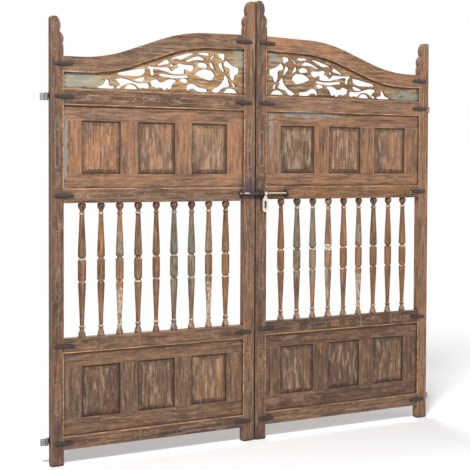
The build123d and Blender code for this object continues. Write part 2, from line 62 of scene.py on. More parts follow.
class Leaf:
    """One leaf of the gate, measured by u in millimetres from its outer edge."""

    def __init__(self, name, side):
        stiles = extent(f"{name}_outer_stile", 0) + extent(f"{name}_meeting_stile", 0)
        self.name = name
        self.side = side
        self.edge = max(stiles) if side > 0 else min(stiles)
        self.width = max(stiles) - min(stiles)
        self.inner = self.width - stile_width
        self.rails = {
            rail: extent(f"{name}_{rail}_rail", 2) for rail in ("frieze", "lock", "sill", "bottom")
        }
        self.body = f"{name}_leaf"

    def x(self, u):
        return self.edge - self.side * u

    def at(self, u, z):
        return (self.x(u), z)


leaves = [Leaf("left", -1), Leaf("right", 1)]


def linear(code):
    """An sRGB hex colour as the linear colour that a shader takes."""
    shares = [int(code[i:i + 2], 16) / 255 for i in (1, 3, 5)]
    return [c / 12.92 if c <= 0.04045 else ((c + 0.055) / 1.055) ** 2.4 for c in shares] + [1]


def add(material, kind, inputs=None, **settings):
    """Add a shader node, set it, and fill or link its inputs.

    A Mix node's two inputs are 2 and 3 for numbers, 4 and 5 for vectors, and 6 and 7 for colours.
    """
    made = material.node_tree.nodes.new("ShaderNode" + kind)
    for name, value in settings.items():
        setattr(made, name, value)
    for key, value in (inputs or {}).items():
        if isinstance(value, bpy.types.NodeSocket):
            material.node_tree.links.new(value, made.inputs[key])
        else:
            made.inputs[key].default_value = value
    return made


def blank_material(name):
    """A material with no nodes yet."""
    material = bpy.data.materials.new(name)
    material.use_nodes = True
    material.node_tree.nodes.clear()
    return material


def patches(material, place, size, low, high, stretch=(1, 1, 1), detail=4.0):
    """Cloudy patches of a size in mm: 0 below one level of the cloud and 1 above another."""
    spread = {"Vector": place, "Scale": [s / (size * mm) for s in stretch]}
    spread = add(material, "Mapping", spread).outputs["Vector"]
    cloud = add(material, "TexNoise", {"Vector": spread, "Scale": 1.0, "Detail": detail}).outputs["Fac"]
    limits = {"Value": cloud, "From Min": low, "From Max": high}
    return add(material, "MapRange", limits, clamp=True).outputs["Result"]


def shade_and_soil_mask(material, reach):
    """Where a corner, a groove or a recess holds dirt and lies in shade, felt over a reach in mm; the coat
    laid by it is partly dirt and partly painted shade.
    """
    corner = add(material, "AmbientOcclusion", {"Distance": reach * mm}, samples=6).outputs["AO"]
    limits = {"Value": corner, "From Min": 0.95, "From Max": 0.5}
    return add(material, "MapRange", limits, clamp=True).outputs["Result"]


def arrises(material, radius):
    """Where the outer edges lie, felt over a radius in mm, but not the edges inside a corner."""
    normal = add(material, "NewGeometry").outputs["Normal"]
    rounded = add(material, "Bevel", {"Radius": radius * mm}, samples=4).outputs["Normal"]
    square = add(material, "VectorMath", {0: normal, 1: rounded}, operation="DOT_PRODUCT").outputs["Value"]
    sharp = {"Value": square, "From Min": 0.985, "From Max": 0.86}
    sharp = add(material, "MapRange", sharp, clamp=True).outputs["Result"]
    open_side = add(material, "AmbientOcclusion", {"Distance": 12 * mm}, samples=4).outputs["AO"]
    open_side = {"Value": open_side, "From Min": 0.55, "From Max": 0.85}
    open_side = add(material, "MapRange", open_side, clamp=True).outputs["Result"]
    return add(material, "Math", {0: sharp, 1: open_side}, operation="MULTIPLY").outputs["Value"]


def coated(material, under, over, cover, amount=1.0):
    """A colour laid over another as far as its cover of 0 to 1 goes, at most by the given amount."""
    level = add(material, "Math", {0: cover, 1: amount}, operation="MULTIPLY").outputs["Value"]
    return add(material, "Mix", {0: level, 6: under, 7: linear(over)}, data_type="RGBA").outputs[2]


def wood_flow(material, grain, uprights):
    """A place in the wood with its first axis along the grain, shifted for each piece.

    The grain is level or upright, and in boards it is upright between the heights of their uprights.
    """
    place = add(material, "TexCoord").outputs["Object"]
    parts = add(material, "SeparateXYZ", {0: place}).outputs
    upended = {"X": parts["Z"], "Y": parts["Y"], "Z": parts["X"]}
    upended = add(material, "CombineXYZ", upended).outputs["Vector"]
    flow = upended if grain == "upright" else place
    for low, high in uprights:
        inside = {0: parts["Z"], 1: (low + high) / 2 * mm, 2: (high - low) / 2 * mm}
        inside = add(material, "Math", inside, operation="COMPARE").outputs["Value"]
        flow = add(material, "Mix", {0: inside, 4: flow, 5: upended}, data_type="VECTOR").outputs[1]
    piece = add(material, "ObjectInfo").outputs["Random"]
    shift = add(material, "Math", {0: piece, 1: 9.0}, operation="MULTIPLY").outputs["Value"]
    return add(material, "VectorMath", {0: flow, 1: shift}, operation="ADD").outputs["Vector"]


def shaded_tone(material, tone, mixed, flow):
    """The wood's tone, darkened by its streaks, and in large patches a little greyer or more orange."""
    depth = {"Value": mixed, "From Min": 0.20, "From Max": 0.80, "To Min": 0.26, "To Max": 1.11}
    depth = add(material, "MapRange", depth).outputs["Result"]
    colour = add(material, "VectorMath", {0: tone, "Scale": depth}, operation="SCALE").outputs["Vector"]
    grey_cast, orange_cast = (0.95, 0.92, 0.84), (1.06, 0.92, 0.70)
    warmth = patches(material, flow, 240, 0.36, 0.64, (0.5, 1, 1), 3.0)
    cast = {0: warmth, 4: grey_cast, 5: orange_cast}
    cast = add(material, "Mix", cast, data_type="VECTOR").outputs[1]
    return add(material, "VectorMath", {0: colour, 1: cast}, operation="MULTIPLY").outputs["Vector"]


def dark_slopes(material, colour, flow, amount):
    """Dark stain kept on the planed slopes of a raised panel, which lie a little off its face."""
    facing = add(material, "NewGeometry").outputs["True Normal"]
    facing = add(material, "SeparateXYZ", {0: facing}).outputs["Y"]
    sloping = {"Value": facing, "From Min": -0.985, "From Max": -0.955}
    sloping = add(material, "MapRange", sloping, clamp=True).outputs["Result"]
    kept = {0: sloping, 1: patches(material, flow, 40, 0.30, 0.55)}
    kept = add(material, "Math", kept, operation="MULTIPLY").outputs["Value"]
    return coated(material, colour, "#33221A", kept, amount)


dark_gap = "#2C1C13"


def dark_joint(material, colour, level):
    """The dark line of a joint between two boards at a height."""
    height = add(material, "TexCoord").outputs["Object"]
    height = add(material, "SeparateXYZ", {0: height}).outputs["Z"]
    line = {0: height, 1: level * mm, 2: 0.8 * mm}
    line = add(material, "Math", line, operation="COMPARE").outputs["Value"]
    return coated(material, colour, dark_gap, line, 0.6)


def paint_band(material, colour, bent, clouds, start, end, coat, amount, size):
    """Paint left round a piece between two shares of its height from the top, in patches of a size."""
    drop = add(material, "TexCoord").outputs["Generated"]
    drop = add(material, "SeparateXYZ", {0: drop}).outputs["Z"]
    drop = {0: clouds, 1: 0.02, 2: drop}
    drop = add(material, "Math", drop, operation="MULTIPLY_ADD").outputs["Value"]
    band = {0: drop, 1: 1.01 - (start + end) / 2, 2: (end - start) / 2}
    band = add(material, "Math", band, operation="COMPARE").outputs["Value"]
    left = {0: band, 1: patches(material, bent, size, 0.40, 0.56, (0.35, 1, 1))}
    left = add(material, "Math", left, operation="MULTIPLY").outputs["Value"]
    return coated(material, colour, coat, left, amount)


def paint_flakes(material, colour, flow, paint, spot, size):
    """Flaking paint within an ellipsoid, given by its middle and its half lengths in mm."""
    away = add(material, "TexCoord").outputs["Object"]
    for operation, values in (("SUBTRACT", spot), ("DIVIDE", size)):
        away = {0: away, 1: [value * mm for value in values]}
        away = add(material, "VectorMath", away, operation=operation).outputs["Vector"]
    away = add(material, "VectorMath", {0: away}, operation="LENGTH").outputs["Value"]
    flaking = {0: away, 1: -0.28, 2: patches(material, flow, 16, 0.0, 1.0, (0.4, 1, 1), 6.0)}
    flaking = add(material, "Math", flaking, operation="MULTIPLY_ADD").outputs["Value"]
    flakes = {"Value": flaking, "From Min": 0.22, "From Max": 0.36}
    flakes = add(material, "MapRange", flakes, clamp=True).outputs["Result"]
    return coated(material, colour, paint, flakes, 0.55)


def grease(material, colour, spot, reach):
    """Black grease that fades out over a reach in mm from a spot."""
    away = {0: add(material, "TexCoord").outputs["Object"], 1: [value * mm for value in spot]}
    away = add(material, "VectorMath", away, operation="DISTANCE").outputs["Value"]
    near = {"Value": away, "From Min": reach * mm, "From Max": reach * 0.35 * mm}
    near = add(material, "MapRange", near, clamp=True).outputs["Result"]
    return coated(material, colour, "#3B3134", near, 0.7)


streak_width = 12
streak_length = 210
vessel_width = 4
vessel_length = 70
crack_width = 6
crack_length = 260
old_stain = "#54403A"
lime_speck = "#D2C3AE"
soil_and_shade = "#26170E"
rubbed_wood = "#C39A78"
greasy_places = [((-46, front, 1232), 62), ((4, front, 1196), 40)]


def old_wood(
    name, grain, uprights=(), own_tone=None, wash="#AE8E74", wash_amount=0.3,
    sunk=0.0, bands=(), paint=None, painted=(),
):
    """Weathered hardwood in the tone of its piece, as darker and lighter streaks 12 mm wide.

    Vessel lines are drawn 4 mm wide, coarser than real, so that they show. Arrises are rubbed
    pale, and corners and recesses hold dark dirt, deepened as painted shade, and flakes of old paint.
    """
    material = blank_material(name)
    flow = wood_flow(material, grain, uprights)
    tone = linear(own_tone)[:3] if own_tone else add(material, "ObjectInfo").outputs["Color"]
    waves = add(material, "TexNoise", {"Vector": flow, "Scale": 1 / (160 * mm), "Detail": 2.0})
    bent = {0: waves.outputs["Color"], 1: (0, 16 * mm, 16 * mm), 2: flow}
    bent = add(material, "VectorMath", bent, operation="MULTIPLY_ADD").outputs["Vector"]
    streaks = patches(material, bent, streak_width, 0.30, 0.70, (streak_width / streak_length, 1, 1), 5.0)
    vessels = patches(material, bent, vessel_width, 0.34, 0.66, (vessel_width / vessel_length, 1, 1), 3.0)
    clouds = patches(material, flow, 95, 0.34, 0.66, (0.45, 1, 1))
    mixed = add(material, "Mix", {0: 0.36, 2: streaks, 3: vessels}, data_type="FLOAT").outputs[0]
    mixed = add(material, "Mix", {0: 0.26, 2: mixed, 3: clouds}, data_type="FLOAT").outputs[0]
    colour = shaded_tone(material, tone, mixed, flow)
    stains = patches(material, flow, 60, 0.54, 0.70, (0.5, 1, 1))
    worn_wash = patches(material, bent, 15, 0.50, 0.68, (0.22, 1, 1))
    specks = patches(material, flow, 6, 0.62, 0.72)
    cracks = patches(material, bent, crack_width, 0.61, 0.68, (crack_width / crack_length, 1, 1), 2.0)
    colour = coated(material, colour, old_stain, stains, 0.5)
    colour = coated(material, colour, wash, worn_wash, wash_amount)
    colour = coated(material, colour, lime_speck, specks, wash_amount * 1.3)
    colour = coated(material, colour, dark_gap, cracks, 0.75)
    if sunk:
        colour = dark_slopes(material, colour, flow, sunk)
    for low, high in uprights:
        colour = dark_joint(material, colour, low)
        colour = dark_joint(material, colour, high)
    for band in bands:
        colour = paint_band(material, colour, bent, clouds, *band)
    # Corners, grooves and recesses are coated near black, partly as dirt and partly as painted shade.
    colour = coated(material, colour, soil_and_shade, shade_and_soil_mask(material, 18), 0.92)
    for spot, size in painted:
        colour = paint_flakes(material, colour, flow, paint, spot, size)
    colour = coated(material, colour, rubbed_wood, arrises(material, 2.2), 0.7)
    for spot, reach in greasy_places:
        colour = grease(material, colour, spot, reach)
    height = add(material, "Mix", {0: 0.45, 2: streaks, 3: vessels}, data_type="FLOAT").outputs[0]
    grooves = add(material, "Bump", {"Strength": 0.6, "Distance": 1.4 * mm, "Height": height})
    gloss = add(material, "MapRange", {"Value": clouds, "To Min": 0.62, "To Max": 0.86})
    shader = add(material, "BsdfPrincipled", {
        "Base Color": colour, "Roughness": gloss.outputs["Result"], "Normal": grooves.outputs["Normal"],
    })
    add(material, "OutputMaterial", {"Surface": shader.outputs["BSDF"]})
    return material


# Bare hardwood gives brown streaks along each piece, and the limewash in its cuts thin pale lines.
upright_wood = old_wood("old hardwood planed upright", "upright")
level_wood = old_wood("old hardwood planed level", "level")
limewash = old_wood(
    "old limewash left in the cuts", "level", own_tone="#CBA98C", wash="#CDB59B", wash_amount=0.8,
)


def finish_with(piece, material, tone=None):
    """Give a piece one material all over, in a tone of its own."""
    piece.data.materials.clear()
    piece.data.materials.append(material)
    if tone:
        piece.color = linear(tone)


def swept(name, loops, section):
    """A mesh of mitred mouldings: a section of (distance outward, depth) pairs led round each loop."""
    points, faces = [], []
    for loop in loops:
        first, count, size = len(points), len(loop), len(section)
        area = sum(a[0] * b[1] - b[0] * a[1] for a, b in zip(loop, loop[1:] + loop[:1]))
        turn = 1 if area > 0 else -1
        for i, (x, z) in enumerate(loop):
            (x0, z0), (x1, z1) = loop[i - 1], loop[(i + 1) % count]
            sides = []
            for run, rise in ((x - x0, z - z0), (x1 - x, z1 - z)):
                length = hypot(run, rise) * turn
                sides.append((rise / length, -run / length))
            (ax, az), (bx, bz) = sides
            share = 1 + ax * bx + az * bz
            mx, mz = (ax + bx) / share, (az + bz) / share
            points += [((x + mx * out) * mm, depth * mm, (z + mz * out) * mm) for out, depth in section]
        for i in range(count):
            here, after = first + i * size, first + (i + 1) % count * size
            for k in range(size):
                beside = (k + 1) % size
                corners = (here + k, here + beside, after + beside, after + k)
                faces.append(corners[::-1] if turn > 0 else corners)
    mesh = bpy.data.meshes.new(name)
    mesh.from_pydata(points, [], faces)
    return mesh


def ring(x, z, radius):
    """A circle as a loop of points."""
    sides = 14
    turns = [2 * pi * i / sides for i in range(sides)]
    return [(x + radius * cos(t), z + radius * sin(t)) for t in turns]


def box_loop(x0, x1, z0, z1):
    """A square-cornered loop."""
    return [(x0, z0), (x1, z0), (x1, z1), (x0, z1)]


def cartouche(x0, x1, z0, z1):
    """A long loop with ends rounded between two small nicks, lying or standing."""
    if x1 - x0 < z1 - z0:
        return [(x, z) for z, x in cartouche(z0, z1, x0, x1)]
    nick = 5
    middle, half = (z0 + z1) / 2, (z1 - z0) / 2
    inside = half * 0.55
    ends = [(nick, -half), (nick, -inside), (0, -inside), (-nick, 0)]
    ends += [(0, inside), (nick, inside), (nick, half)]
    return [(x0 + a, middle + b) for a, b in reversed(ends)] + [(x1 - a, middle + b) for a, b in ends]


gouge_depth = 1.7
gouge_half_width = 2.4
gouge_clear = 0.8


def soften(piece, radius, cuts=()):
    """Round a solid's square arrises as wear does, and cut patterns in it, without touching its own mesh."""
    piece.modifiers.new("faces joined", "WELD").merge_threshold = 0.01 * mm
    worn = piece.modifiers.new("arrises worn", "BEVEL")
    worn.width = radius * mm
    worn.segments = 2
    worn.limit_method = "ANGLE"
    worn.angle_limit = radians(28)
    if cuts:
        mouth = front - gouge_clear
        gouge = [(0, front + gouge_depth), (gouge_half_width, mouth), (-gouge_half_width, mouth)]
        tool_mesh = swept(piece.name + "_cuts", cuts, gouge)
        tool_mesh.materials.append(upright_wood)
        tool_mesh.materials.append(limewash)
        for face in tool_mesh.polygons:
            face.material_index = 1
        piece.data.materials.append(limewash)
        carved = piece.modifiers.new("patterns cut", "BOOLEAN")
        carved.operation = "DIFFERENCE"
        carved.solver = "EXACT"
        carved.object = bpy.data.objects.new(piece.name + "_gouge", tool_mesh)
        piece.modifiers.new("cuts sharp", "EDGE_SPLIT").split_angle = radians(47)
    piece.modifiers.new("faces flat", "WEIGHTED_NORMAL").keep_sharp = True


cartouche_height = 23


def lying(leaf, low, high, spans):
    """Cartouches along the middle of a rail, between pairs of distances across the leaf."""
    bottom, top = (low + high - cartouche_height) / 2, (low + high + cartouche_height) / 2
    ends = [sorted((leaf.x(u0), leaf.x(u1))) for u0, u1 in spans]
    return [cartouche(x0, x1, bottom, top) for x0, x1 in ends]


def rings_along(leaf, low, high, places, radius=9):
    """Rings along the middle of a rail."""
    return [ring(leaf.x(u), (low + high) / 2, radius) for u in places]


def bars_along(leaf, low, high, places, tall=16, wide=7):
    """Short upright strokes along the middle of a rail."""
    bottom, top = (low + high - tall) / 2, (low + high + tall) / 2
    return [box_loop(leaf.x(u) - wide / 2, leaf.x(u) + wide / 2, bottom, top) for u in places]


rail_patterns = {}
for leaf in leaves:
    frieze, lock, sill, bottom = leaf.rails.values()
    rail_patterns[leaf.name, "frieze"] = [
        *lying(leaf, *frieze, [(168, 394), (619, 851)]), *rings_along(leaf, *frieze, [444, 509]),
        *bars_along(leaf, *frieze, [464, 476.5, 489], 9, 6),
    ]
    rail_patterns[leaf.name, "lock"] = [
        *lying(leaf, *lock, [(168, 394), (700, 851)]), *rings_along(leaf, *lock, [124], 12),
        *bars_along(leaf, *lock, [446, 460, 474, 488, 502, 516, 564, 578, 592]),
    ]
    rail_patterns[leaf.name, "sill"] = [
        *lying(leaf, *sill, [(168, 212), (303, 394), (634, 734)]), *rings_along(leaf, *sill, [446, 509], 8),
        *bars_along(leaf, *sill, [234, 421], 46), *bars_along(leaf, *sill, [564, 580, 596], 22, 8),
        *bars_along(leaf, *sill, [136, 809], 22, 28),
    ]
    rail_patterns[leaf.name, "bottom"] = [
        *lying(leaf, *bottom, [(168, 404), (634, 854)]), *rings_along(leaf, *bottom, [448, 476, 504], 8),
        *bars_along(leaf, *bottom, [425], 42),
    ]
    rail_patterns[leaf.name, "arched"] = [
        cartouche(*sorted((leaf.x(95), leaf.x(205))), 1780, 1803),
        cartouche(*sorted((leaf.x(700), leaf.x(880))), 1924, 1947),
        *[ring(leaf.x(u), z, 7) for u, z in ((420, 1852), (444, 1861), (468, 1870), (905, 1936))],
    ]
stile_patterns = {
    edge: [cartouche(-10, 10, low, high) for low, high in spans] + [ring(0, z, 8) for z in flowers]
    for edge, spans, flowers in (
        ("outer", [(235, 370), (740, 1000), (1335, 1500)], [1022, 1044, 1252, 1274, 1300, 395]),
        ("meeting", [(240, 435), (740, 1000), (1340, 1510)], [1022, 1044, 1300, 460]),
    )
}
tones = {
    "umber": "#5E4434", "bark": "#6C5040", "walnut": "#7C5E4A", "russet": "#87603F", "tan": "#967058",
    "ash": "#A07F69",
}
frame_tones = {
    "left": {
        "outer_stile": "bark", "meeting_stile": "walnut", "arched_rail": "walnut", "frieze_rail": "bark",
        "lock_rail": "walnut", "sill_rail": "walnut", "bottom_rail": "bark",
    },
    "right": {
        "outer_stile": "tan", "meeting_stile": "bark", "arched_rail": "tan", "frieze_rail": "tan",
        "lock_rail": "russet", "sill_rail": "umber", "bottom_rail": "walnut",
    },
}
for leaf in leaves:
    middles = {"outer": stile_width / 2, "meeting": leaf.width - stile_width / 2}
    for name, tone in frame_tones[leaf.name].items():
        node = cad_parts[f"{leaf.name}_{name}"]
        part, kind = name.split("_")
        if kind == "stile":
            finish_with(node, upright_wood, tones[tone])
            middle = leaf.x(middles[part])
            soften(node, 1.2, [[(middle + x, z) for x, z in loop] for loop in stile_patterns[part]])
        else:
            finish_with(node, level_wood, tones[tone])
            soften(node, 1.0, rail_patterns[leaf.name, part])

# Beads
# The rounded moulding that a scratch stock leaves round the inside of the frame. It is the part
# that hands and brooms rub most, and its tone is also made pale as a painted highlight, so it is the
# lightest and warmest wood on the gate.
arch_low_edge = 1757
arch_rise = 143
arch_crown_rise = 5
arch_start = 155
arch_radius = 700
arch_slope = radians(19.8)


def arch_points(level):
    """Points along the S-curve of the arched rail's lower edge, as (distance across the leaf, height)."""
    steps = 8
    arc_run, arc_rise = arch_radius * sin(arch_slope), arch_radius * (1 - cos(arch_slope))
    run = (arch_rise - 2 * arc_rise) / tan(arch_slope)
    turns = [arch_slope * i / steps for i in range(steps + 1)]
    hollow = [(arch_start + arch_radius * sin(t), level + arch_radius * (1 - cos(t))) for t in turns]
    end = arch_start + 2 * arc_run + run
    top = level + arch_rise
    crown = [(end - arch_radius * sin(t), top - arch_radius * (1 - cos(t))) for t in reversed(turns)]
    return hollow + crown


def shown_as(name, mesh, sharp=50):
    """Put a mesh in the scene, smooth but for its sharp edges."""
    mesh.name = name
    piece = bpy.data.objects.new(name, mesh)
    bpy.context.scene.collection.objects.link(piece)
    mesh.shade_smooth()
    mesh.set_sharp_from_angle(angle=radians(sharp))
    return piece


# Rubbed bare by hands and made pale as a painted highlight, this wood draws a paler line round each opening.
bead_wood_highlit = old_wood(
    "hardwood bead rubbed by hands", "level", own_tone="#B98E6B", wash="#D2AD8B", wash_amount=0.6,
)
bead_radius = 3.6
bead_middle = (2.4, front + 3.3)
bead_turns = [2 * pi * i / 10 for i in range(10)]
bead_section = [
    (bead_middle[0] + bead_radius * sin(t), bead_middle[1] - bead_radius * cos(t)) for t in bead_turns
]
for leaf in leaves:
    rails = leaf.rails
    openings = [
        [leaf.at(u, z) for u, z in box_loop(stile_width, leaf.inner, low, high)]
        for low, high in ((rails["lock"][1], rails["frieze"][0]), (rails["bottom"][1], rails["sill"][0]))
    ]
    arched = [(leaf.inner, rails["frieze"][1]), (leaf.inner, arch_low_edge + arch_rise + arch_crown_rise)]
    arched += reversed(arch_points(arch_low_edge))
    arched += [(stile_width, arch_low_edge), (stile_width, rails["frieze"][1])]
    openings.append([leaf.at(u, z) for u, z in arched])
    beads = shown_as(f"{leaf.name}_beads", swept("bead", openings, bead_section))
    finish_with(beads, bead_wood_highlit)
    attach(beads, leaf.body)

# Fretwork
# A 13 mm board under the arch, pierced with a bird, ribbons and leaves. The piercings were sawn
# with a fine blade and their edges rounded with a knife. Grooves 8 mm deep in the frame hold it.
fret_front, fret_back = extent("left_fretwork", 1)
fret_edge = 1.4
housing = 8
sharp_turn = radians(62)


def sawn(name, loops, near, far, edge, steps=5):
    """A flat piece cut to outlines, (points, curved) each, with rounded edges, upright from near to far."""
    shape = bpy.data.curves.new(name, "CURVE")
    shape.dimensions = "2D"
    shape.fill_mode = "BOTH"
    shape.extrude = ((far - near) / 2 - edge) * mm
    shape.bevel_depth = edge * mm
    shape.bevel_resolution = 1
    shape.offset = -edge * mm
    shape.resolution_u = steps
    for points, curved in loops:
        spline = shape.splines.new("BEZIER" if curved else "POLY")
        spline.use_cyclic_u = True
        if curved:
            spline.bezier_points.add(len(points) - 1)
            for i, (knot, (x, z)) in enumerate(zip(spline.bezier_points, points)):
                knot.co = (x * mm, z * mm, 0)
                before = Vector(points[i]) - Vector(points[i - 1])
                after = Vector(points[(i + 1) % len(points)]) - Vector(points[i])
                corner = before.angle(after) > sharp_turn
                knot.handle_left_type = knot.handle_right_type = "VECTOR" if corner else "AUTO"
        else:
            spline.points.add(len(points) - 1)
            for knot, (x, z) in zip(spline.points, points):
                knot.co = (x * mm, z * mm, 0, 1)
    pattern = bpy.data.objects.new(name + "_pattern", shape)
    mesh = bpy.data.meshes.new_from_object(pattern)
    mesh.transform(Matrix.Translation((0, (near + far) / 2 * mm, 0)) @ Matrix.Rotation(pi / 2, 4, "X"))
    bpy.data.objects.remove(pattern)
    return shown_as(name, mesh)


# Each point of a window is its distance from the meeting stile and its height over the frieze rail.
fret_windows = {
    "above_beak": [
        (97, 195), (125, 195), (134, 189), (132, 178), (121, 173), (109, 164), (103, 166), (98, 176),
    ],
    "beside_branch": [
        (88, 166), (78, 158), (68, 149), (56, 142), (22, 131), (24, 105), (37, 98), (43, 89), (46, 77),
        (54, 70), (62, 73), (72, 91), (74, 103), (73, 118), (78, 128), (97, 133), (104, 141),
        (104, 148), (94, 162),
    ],
    "throat": [
        (113, 154), (121, 151), (133, 144), (131, 133), (122, 124), (112, 112), (101, 107), (101, 117),
        (106, 128), (110, 140),
    ],
    "breast": [
        (97, 101), (101, 87), (106, 70), (113, 59), (124, 47), (137, 36), (152, 29), (170, 17),
        (160, 11), (132, 11), (117, 25), (103, 34), (82, 38), (71, 44), (74, 56), (80, 63), (75, 72),
        (86, 86),
    ],
    "twig": [(41, 38), (44, 51), (52, 58), (65, 59), (58, 50), (56, 42), (48, 36)],
    "nape": [
        (172, 156), (177, 148), (177, 131), (167, 125), (158, 118), (150, 113), (153, 123), (161, 140),
    ],
    "crest": [
        (155, 191), (163, 184), (168, 178), (175, 172), (172, 164), (165, 165), (160, 174), (154, 182),
    ],
    "above_back": [
        (188, 133), (197, 143), (212, 147), (234, 145), (244, 137), (243, 128), (222, 124), (197, 123),
    ],
    "upper_ribbon": [
        (203, 160), (214, 170), (232, 176), (252, 174), (272, 167), (290, 158), (307, 150), (290, 148),
        (272, 154), (255, 158), (225, 159),
    ],
    "top_slit": [(177, 189), (186, 194), (215, 195), (240, 192), (240, 188), (215, 184), (192, 182)],
    "long_top": [
        (262, 189), (276, 189), (300, 185), (325, 178), (350, 170), (370, 162), (379, 154), (374, 151),
        (366, 156), (356, 160), (335, 156), (320, 159), (308, 166), (290, 174), (272, 182),
    ],
    "top_leaf": [
        (385, 141), (391, 150), (402, 152), (418, 145), (434, 135), (447, 127), (444, 122), (425, 127),
        (402, 132), (389, 136),
    ],
    "bud": [(365, 129), (374, 133), (384, 129), (387, 124), (380, 122), (370, 124)],
    "ribbon_gap": [
        (260, 120), (263, 130), (275, 133), (310, 134), (333, 138), (345, 136), (349, 131), (341, 117),
        (355, 115), (365, 108), (373, 101), (380, 106), (388, 115), (425, 116), (482, 117), (495, 120),
        (498, 113), (488, 104), (484, 92), (482, 77), (466, 77), (462, 86), (467, 95), (465, 107),
        (450, 107), (430, 102), (400, 96), (382, 90), (355, 88), (325, 89), (311, 92), (309, 104),
        (311, 112), (298, 109), (284, 103), (274, 104), (266, 112),
    ],
    "tail_slot": [
        (285, 78), (292, 83), (340, 81), (390, 83), (427, 87), (440, 83), (439, 77), (425, 74),
        (400, 72), (380, 68), (335, 69), (300, 73),
    ],
    "tail_notch": [
        (290, 57), (296, 65), (330, 65), (337, 59), (333, 54), (322, 52), (312, 48), (300, 50),
    ],
    "scallops": [
        (353, 59), (365, 62), (395, 60), (408, 54), (420, 47), (434, 47), (443, 56), (455, 58),
        (468, 55), (484, 50), (481, 38), (476, 22), (466, 25), (455, 17), (441, 21), (428, 20),
        (416, 11), (406, 11), (400, 20), (388, 15), (377, 20), (372, 34), (362, 46), (353, 52),
    ],
    "belly": [
        (191, 10), (191, 24), (210, 27), (232, 30), (250, 39), (268, 45), (286, 43), (296, 37),
        (301, 22), (297, 11), (286, 17), (274, 23), (262, 21), (248, 12), (225, 9),
    ],
    "leaf_top": [
        (508, 95), (509, 107), (540, 103), (575, 96), (610, 88), (640, 81), (647, 75), (630, 71),
        (590, 70), (545, 71), (526, 75), (514, 84),
    ],
    "leaf_middle": [
        (509, 60), (511, 67), (528, 65), (550, 58), (570, 52), (556, 47), (535, 45), (519, 49),
    ],
    "leaf_low": [
        (488, 27), (492, 37), (505, 40), (530, 38), (550, 40), (572, 46), (600, 54), (630, 57),
        (656, 51), (644, 40), (634, 29), (636, 22), (649, 20), (650, 11), (636, 10), (622, 22),
        (605, 30), (590, 35), (576, 36), (562, 32), (550, 22), (538, 14), (520, 17), (500, 14),
        (490, 19),
    ],
    "rosette": [
        (657, 12), (662, 21), (672, 20), (682, 24), (684, 40), (693, 49), (701, 49), (707, 37),
        (714, 26), (724, 20), (740, 16), (740, 9), (665, 9),
    ],
    "body_loop": [
        (149, 88), (160, 106), (182, 115), (210, 116), (238, 106), (258, 91), (234, 80), (206, 71),
        (174, 66),
    ],
    "first_arch": [(105, 9), (98, 19), (85, 28), (67, 31), (49, 28), (36, 19), (29, 9)],
    "second_arch": [(612, 9), (604, 21), (593, 28), (579, 30), (565, 28), (554, 21), (546, 9)],
}
# Worn limewash leaves the carved face streaked cream and brown, with grey-green paint in its corners.
fret_wood = old_wood(
    "carved hardwood with worn limewash", "level", wash="#CDB892", wash_amount=0.4, paint="#86938A",
    painted=[
        ((-900, fret_front, 1715), (130, 1000, 60)), ((-85, fret_front, 1860), (50, 1000, 60)),
        ((900, fret_front, 1710), (120, 1000, 40)), ((100, fret_front, 1870), (30, 1000, 40)),
        ((-330, fret_front, 1700), (50, 1000, 30)),
    ],
)
# The saw's walls are coloured near black as painted shade, so they outline the pattern.
sawn_wall_shade = old_wood("sawn hardwood edge black with dust", "level", own_tone="#3F2B1D", wash="#7A5A3C")
fret_tones = {"left": "#AC8A66", "right": "#93704F"}
for leaf in leaves:
    ground = leaf.rails["frieze"][1]
    near, far = stile_width - housing, leaf.inner + housing
    head = arch_low_edge + housing
    board = [(near, head), *arch_points(head), (far, head + arch_rise + arch_crown_rise)]
    board += [(far, ground - housing), (near, ground - housing)]
    windows = [
        ([leaf.at(leaf.inner - v, ground + h) for v, h in points], True) for points in fret_windows.values()
    ]
    outlines = [([leaf.at(u, z) for u, z in board], False)] + windows
    fret = sawn(f"{leaf.name}_carved_fretwork", outlines, fret_front, fret_back, fret_edge)
    finish_with(fret, fret_wood, fret_tones[leaf.name])
    # The walls of the piercings take the near-black painted shade.
    fret.data.materials.append(sawn_wall_shade)
    # The walls of the piercings are the faces that don't look forward or back.
    for face in fret.data.polygons:
        face.material_index = int(abs(face.normal.y) < 0.3)
    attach(fret, leaf.body)
    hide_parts(f"{leaf.name}_fretwork")

